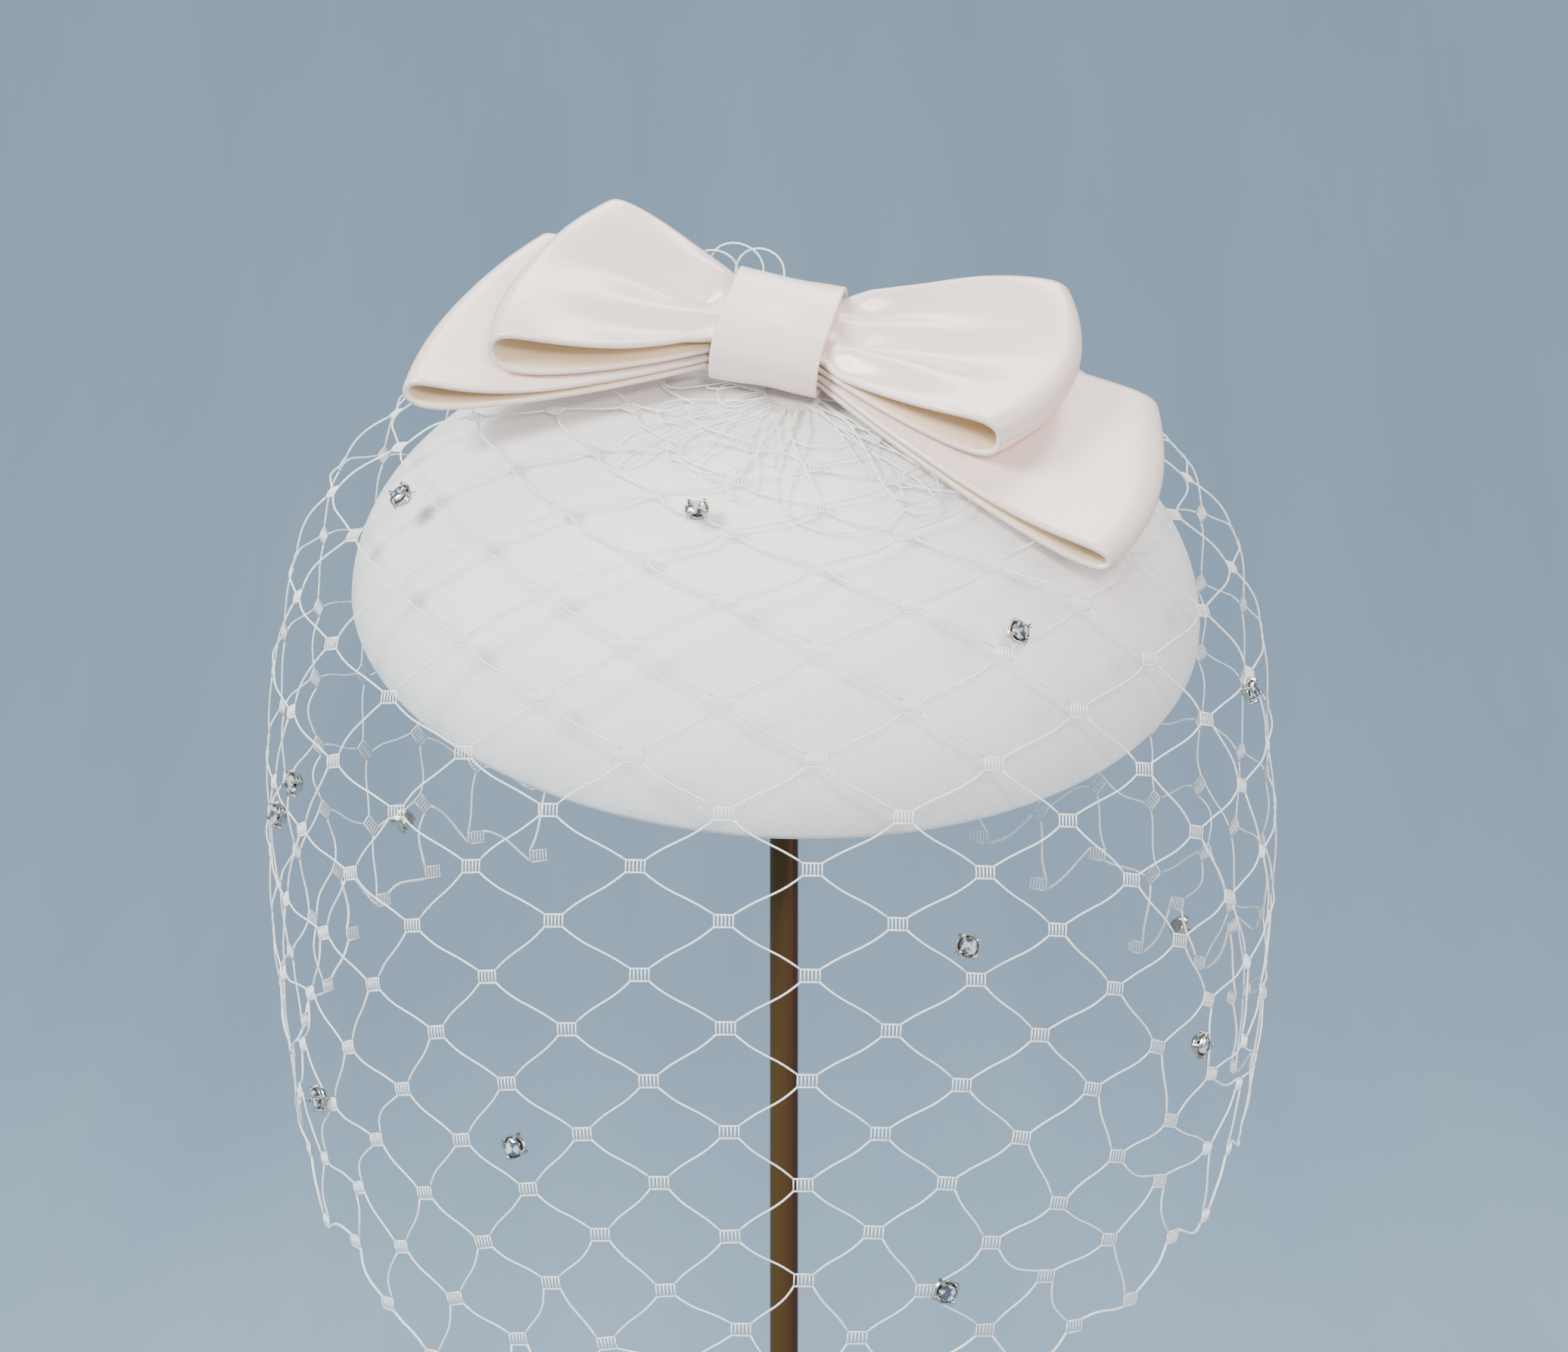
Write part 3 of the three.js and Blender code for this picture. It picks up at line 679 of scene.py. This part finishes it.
class VeilSurface:
    # the veil's form, sampled once and read between the samples; arc is millimetres from the gather
    def __init__(self):
        self.turns = 121
        self.steps = 160
        self.rows = []
        self.arcs = []
        for i in range(self.turns):
            keys = veilKeys(rad(lerp(-veil["halfAngle"], veil["halfAngle"], i / (self.turns - 1))))
            row = [curveThrough(keys, j / self.steps) for j in range(self.steps + 1)]
            arc = [0.0]
            for a, b in zip(row, row[1:]):
                arc.append(arc[-1] + (b - a).length)
            self.rows.append(row)
            self.arcs.append(arc)

    def along(self, i, share):
        # share of the meridian's own length
        arc = self.arcs[i]
        if share > 1:
            last = self.rows[i][-1]
            return last + (last - self.rows[i][-4]).normalized() * (share - 1) * arc[-1]
        target = max(0.0, share) * arc[-1]
        low, high = 0, self.steps
        while high - low > 1:
            mid = (low + high) // 2
            if arc[mid] <= target:
                low = mid
            else:
                high = mid
        t = (target - arc[low]) / (arc[high] - arc[low])
        return self.rows[i][low].lerp(self.rows[i][high], t)

    def point(self, angle, share):
        place = (angle / veil["halfAngle"] + 1) / 2 * (self.turns - 1)
        i = min(self.turns - 2, max(0, int(place)))
        return self.along(i, share).lerp(self.along(i + 1, share), place - i)

    def normal(self, angle, share):
        down = self.point(angle, share + 0.01) - self.point(angle, share - 0.01)
        turn = self.point(angle + 0.6, share) - self.point(angle - 0.6, share)
        return down.cross(turn).normalized()


class Threads:
    def __init__(self):
        self.points = []
        self.faces = []

    def tube(self, path, radius, sides=5):
        start = len(self.points)
        side = None
        for i, point in enumerate(path):
            ahead = path[min(i + 1, len(path) - 1)] - path[max(i - 1, 0)]
            if ahead.length < 1e-9:
                ahead = Vector((0, 0, 1))
            ahead.normalize()
            if side is None:
                side = ahead.orthogonal()
            side = (side - ahead * side.dot(ahead)).normalized()
            up = ahead.cross(side)
            for k in range(sides):
                turn = 2 * math.pi * k / sides
                self.points.append((point + (side * math.cos(turn) + up * math.sin(turn)) * radius) * mm)
        for i in range(len(path) - 1):
            for k in range(sides):
                a = start + i * sides + k
                b = start + i * sides + (k + 1) % sides
                self.faces.append((a, b, b + sides, a + sides))
        self.faces.append(tuple(start + k for k in reversed(range(sides))))
        end = start + (len(path) - 1) * sides
        self.faces.append(tuple(end + k for k in range(sides)))


# the net starts as a flat lattice folded round the gather; its threads then pull each knot
# until every strand has its own length, and slack ones near the gather are left to curl
class Lattice:
    def __init__(self, surface):
        self.surface = surface
        wide, tall = net["halfMesh"]
        self.knots = {}
        for j in range(-10, 40):
            for i in range(-20, 20):
                x, y = (i + net["shift"]) * wide, j * tall
                reach, turn = math.hypot(x, y), math.degrees(math.atan2(x, y))
                if (i + j) % 2 or abs(turn) > veil["halfAngle"] / net["spread"] + 8:
                    continue
                if net["firstKnot"] < reach < net["lastKnot"]:
                    self.knots[i, j] = [turn * net["spread"], reach / 213]
        self.strands = []
        for i, j in self.knots:
            for side in (-1, 1):
                if (i + side, j + 1) in self.knots:
                    self.strands.append(((i, j), (i + side, j + 1)))
        for _ in range(net["rounds"]):
            self.pull()
        self.trim()

    def pull(self):
        places, turns, falls, moves = {}, {}, {}, {}
        for key, (angle, share) in self.knots.items():
            places[key] = self.surface.point(angle, share)
            turns[key] = (self.surface.point(angle + 1, share) - places[key])
            falls[key] = (self.surface.point(angle, share + 0.01) - places[key]) * 100
            moves[key] = [Vector((0, 0, 0)), 0]
        for a, b in self.strands:
            gap = places[b] - places[a]
            over = gap.length - net["strand"]
            if over < 0:
                share = (self.knots[a][1] + self.knots[b][1]) / 2
                over *= min(1.0, max(0.0, (share - 0.22) / 0.3))
            step = gap.normalized() * over * 0.5
            moves[a][0] += step
            moves[b][0] -= step
            moves[a][1] += 1
            moves[b][1] += 1
        for key, (move, count) in moves.items():
            if count:
                move = move / count * 1.3
                turn, fall = turns[key], falls[key]
                self.knots[key][0] += move.dot(turn) / max(0.05, turn.length_squared)
                self.knots[key][1] += move.dot(fall) / fall.length_squared

    # whole meshes are kept inside the veil's outline, so its edge follows the threads
    def trim(self):
        inside = {key for key, (angle, share) in self.knots.items()
                  if abs(angle) < veil["halfAngle"] + 3 and 0.03 < share < 1.012}
        used, edges = set(), {}
        for i, j in self.knots:
            ring = [(i, j), (i + 1, j + 1), (i, j + 2), (i - 1, j + 1)]
            if all(corner in inside for corner in ring):
                used.update(ring)
                for a, b in zip(ring, ring[1:] + ring[:1]):
                    edge = (a, b) if a[1] < b[1] else (b, a)
                    edges[edge] = edges.get(edge, 0) + 1
        self.knots = {key: place for key, place in self.knots.items() if key in used}
        self.strands = [edge for edge in self.strands if edge in edges]
        self.edges = edges


def knotFrame(surface, angle, share):
    centre = surface.point(angle, share)
    fall = (surface.point(angle, share + 0.01) - surface.point(angle, share - 0.01)).normalized()
    across = surface.point(angle + 1, share) - surface.point(angle - 1, share)
    across = (across - fall * across.dot(fall)).normalized()
    normal = fall.cross(across)
    if normal.dot(surface.normal(angle, share)) < 0:
        normal = -normal
    lift = 0.5 * noise.noise(Vector((angle * 0.2, share * 20, 7))) + 0.35
    return centre + normal * lift, across, -fall, normal


def makeVeil(surface):
    random.seed(net["seed"])
    threads = Threads()
    lattice = Lattice(surface)
    frames = {}
    for key, (angle, share) in lattice.knots.items():
        centre, across, up, normal = knotFrame(surface, angle, share)
        # the knot's bars lie along the bisector of its own strands
        i, j = key
        ends = [lattice.knots.get((i + a, j + b)) for a, b in ((1, 1), (1, -1), (-1, 1), (-1, -1))]
        if all(ends):
            right = surface.point(*ends[0]) + surface.point(*ends[1])
            left = surface.point(*ends[2]) + surface.point(*ends[3])
            lean = right - left
            lean = (lean - normal * lean.dot(normal))
            if lean.length > 4:
                across = lean.normalized()
                up = normal.cross(across)
                if up.dot(surface.point(angle, share - 0.02) - centre) < 0:
                    up = -up
        frames[key] = (centre, across, up, normal)
        makeKnot(threads, frames[key])
    for upper, lower in lattice.strands:
        side = lower[0] - upper[0]
        heavy = lattice.edges[upper, lower] == 1 and lattice.knots[upper][1] > 0.15
        addStrand(threads, surface, lattice.knots, frames, upper, lower, side, heavy)
    addBunch(threads, surface)
    piece = sheetPiece("veil_net", threads.points, threads.faces)
    piece.data.materials.append(veilNet)
    finishPiece(piece, "veil_net", "veil")
    print("net has", len(lattice.knots), "knots and", len(threads.faces) * 2, "triangles")


# a knot is a little ladder: short parallel threads between two bars
def makeKnot(threads, place):
    centre, across, up, normal = place
    halfWidth, halfHeight = net["knotWidth"] / 2, net["knotHeight"] / 2
    for k in range(net["ribs"]):
        x = lerp(-halfWidth, halfWidth, k / (net["ribs"] - 1))
        path = [centre + across * x + up * halfHeight * t + normal * 0.12 * (1 - t * t) for t in (-1, 0, 1)]
        threads.tube(path, 0.18, 4)
    for edge in (-1, 1):
        path = [centre + up * halfHeight * edge + across * halfWidth * t for t in (-1.1, 0, 1.1)]
        threads.tube(path, net["thread"], 4)


def cornerOf(place, side, edge):
    centre, across, up, _ = place
    return centre + across * (side * net["knotWidth"] / 2) + up * (edge * net["knotHeight"] / 2)


def addStrand(threads, surface, knots, frames, upper, lower, side, heavy):
    start = cornerOf(frames[upper], side, -1)
    end = cornerOf(frames[lower], -side, 1)
    angle0, share0 = knots[upper]
    angle1, share1 = knots[lower]
    straight0, straight1 = surface.point(angle0, share0), surface.point(angle1, share1)
    slack = max(0.0, net["strand"] - (straight1 - straight0).length)
    arch = math.sqrt(0.375 * slack * net["strand"]) * random.uniform(0.3, 0.85) * random.choice((-1, 1))
    _, across, up, normal = frames[upper]
    along = (end - start).normalized()
    sideways = normal.cross(along).normalized()
    path = []
    steps = 9
    for k in range(steps + 1):
        t = k / steps
        bend = surface.point(lerp(angle0, angle1, t), lerp(share0, share1, t)) - straight0.lerp(straight1, t)
        bow_ = math.sin(math.pi * t)
        point = start.lerp(end, t) + bend + sideways * arch * bow_
        point += normal * (0.2 * abs(arch) + 0.1) * bow_
        point -= sideways * side * 0.22 * math.sin(2 * math.pi * t)
        path.append(point)
    threads.tube(path, net["hemThread"] if heavy else net["thread"], 5)


# where the net is drawn up under the knot, its threads bunch, curl and stand a little proud
def addBunch(threads, surface):
    for k in range(30):
        angle = -150 + 300 * k / 29 + random.uniform(-4, 4)
        reach = random.uniform(0.05, 0.15) * (1.25 if abs(angle) < 75 else 0.7)
        wave = random.uniform(8, 20) * random.choice((-1, 1))
        rise = random.uniform(0.1, 0.7)
        path = []
        for step in range(15):
            t = step / 14
            out = math.sin(math.pi * t)
            here = angle + wave * math.sin(math.pi * t * 2) + lerp(-16, 16, t)
            share = 0.004 + reach * out
            point = surface.point(max(-155, min(155, here)), share)
            path.append(point + surface.normal(max(-154, min(154, here)), max(0.02, share)) * rise * out)
        threads.tube(path, net["thread"] * 0.9, 5)
    # three small loops stand up behind the band
    for start, end, height, lean in ((-17, -7, 5.5, 2.0), (-12, -3, 4.0, 3.5), (-20, -12, 3.5, 1.0)):
        path = []
        for step in range(17):
            t = step / 16
            along = (start + end) / 2 + (start - end) / 2 * math.cos(math.pi * t) * (1 + 0.4 * math.sin(math.pi * t))
            back = bow["knotBack"] + 5.2 + lean * math.sin(math.pi * t)
            path.append(bowPlace @ Vector((along, back, 8 + (height + 2.5) * math.sin(math.pi * t))))
        threads.tube(path, net["thread"], 6)


veilSurface = VeilSurface()
makeVeil(veilSurface)
print("veil ready")


# ---------- stones in claw settings ----------

stone = {"cup": 2.35, "cupHeight": 1.7, "girdle": 1.95, "table": 1.1, "stand": 0.85, "claws": 4}
stoneTable = [
    (-77.5, 0.57), (-23, 0.327), (37.5, 0.557), (73, 0.682), (-66, 0.753), (-70.5, 0.782), (-129, 0.93),
    (21.5, 0.746), (119, 0.97), (54.5, 0.847), (-61.5, 0.909), (-28.5, 0.869), (19.5, 0.926),
]


def makeSettingPattern():
    cup, height = stone["cup"], stone["cupHeight"]
    outline = [(0, 0), (cup * 0.62, 0), (cup * 0.74, 0.12), (cup * 0.9, 0.85), (cup * 0.86, 0.98),
               (cup * 0.9, 1.12), (cup, height - 0.1), (cup - 0.06, height), (stone["girdle"] + 0.08, height),
               (stone["girdle"] * 0.6, 0.6), (0, 0.6)]
    body = spunPiece("setting", outline, 28)
    parts = [body]
    for k in range(stone["claws"]):
        turn = 2 * math.pi * (k + 0.5) / stone["claws"]
        clearSelection()
        bpy.ops.mesh.primitive_cylinder_add(vertices=10, radius=0.4 * mm, depth=2.0 * mm,
                                            location=(0, 0, 0))
        claw = bpy.context.object
        bpy.ops.object.mode_set(mode="EDIT")
        bpy.ops.mesh.select_all(action="SELECT")
        bpy.ops.mesh.bevel(offset=0.14 * mm, segments=2, affect="EDGES")
        bpy.ops.object.mode_set(mode="OBJECT")
        lean = Matrix.Rotation(rad(-14), 4, "Y")
        out = Matrix.Translation((cup * mm - 0.12 * mm, 0, (height + 0.05) * mm))
        claw.data.transform(Matrix.Rotation(turn, 4, "Z") @ out @ lean)
        parts.append(claw)
    clearSelection()
    for part in parts:
        part.select_set(True)
    bpy.context.view_layer.objects.active = body
    bpy.ops.object.join()
    body.data.materials.clear()
    body.data.materials.append(clawSilver)
    pickOnly(body)
    bpy.ops.object.shade_smooth_by_angle(angle=rad(40))
    return body


# the stone: a brilliant's table, crown facets, thin girdle and pointed back
def makeCrystalPattern():
    seat = stone["cupHeight"] - 0.05
    reach = stone["girdle"] - 0.15
    clearSelection()
    bpy.ops.mesh.primitive_circle_add(vertices=8, radius=stone["table"] * mm, fill_type="NGON",
                                      location=(0, 0, (seat + 1.0) * mm))
    crystal = bpy.context.object
    crystal.name = "crystal"
    bpy.ops.object.mode_set(mode="EDIT")
    centre = (0, 0, 0)
    widths = (stone["table"], (stone["table"] + reach) / 2 + 0.12, reach, reach, reach * 0.5)
    heights = (seat + 1.0, seat + 0.78, seat + 0.4, seat + 0.28, 1.1)
    for k in range(4):
        bpy.ops.mesh.select_all(action="DESELECT")
        bpy.ops.object.mode_set(mode="OBJECT")
        lowest = min(v.co.z for v in crystal.data.vertices)
        for vertex in crystal.data.vertices:
            vertex.select = abs(vertex.co.z - lowest) < 1e-7
        for edge in crystal.data.edges:
            edge.select = all(crystal.data.vertices[v].select for v in edge.vertices)
        bpy.ops.object.mode_set(mode="EDIT")
        bpy.ops.mesh.select_mode(type="EDGE")
        bpy.ops.mesh.extrude_edges_move(
            TRANSFORM_OT_translate={"value": (0, 0, (heights[k + 1] - heights[k]) * mm)})
        grow = widths[k + 1] / widths[k]
        bpy.ops.transform.resize(value=(grow, grow, 1), center_override=centre)
        if k != 2:
            bpy.ops.transform.rotate(value=rad(22.5), orient_axis="Z", center_override=centre)
    bpy.ops.mesh.edge_face_add()
    bpy.ops.mesh.select_all(action="SELECT")
    bpy.ops.mesh.quads_convert_to_tris()
    bpy.ops.mesh.normals_make_consistent(inside=False)
    bpy.ops.object.mode_set(mode="OBJECT")
    applyPlace(crystal)
    crystal.data.materials.append(cutCrystal)
    return crystal


def stoneMatrix(angle, along):
    step = 0.001
    low = curveThrough(veilKeys(rad(angle)), along - step)
    high = curveThrough(veilKeys(rad(angle)), along + step)
    left = curveThrough(veilKeys(rad(angle) - step), along)
    right = curveThrough(veilKeys(rad(angle) + step), along)
    outward = (high - low).cross(right - left).normalized()
    centre = curveThrough(veilKeys(rad(angle)), along) + outward * stone["stand"]
    turn = Vector((0, 0, 1)).rotation_difference(outward)
    return Matrix.Translation(centre * mm) @ turn.to_matrix().to_4x4()


def makeStones():
    patterns = ((makeSettingPattern(), "setting", "setting_metal"), (makeCrystalPattern(), "crystal", "crystal"))
    for pattern, word, slot in patterns:
        for number, (angle, along) in enumerate(stoneTable, 1):
            mesh = pattern.data.copy()
            mesh.transform(stoneMatrix(angle, along))
            piece = bpy.data.objects.new("%s_piece_%02d" % (word, number), mesh)
            bpy.context.collection.objects.link(piece)
            finishPiece(piece, slot, "%s_%02d" % (word, number))
        bpy.data.objects.remove(pattern)


makeStones()
print("stones ready")

clearSelection()
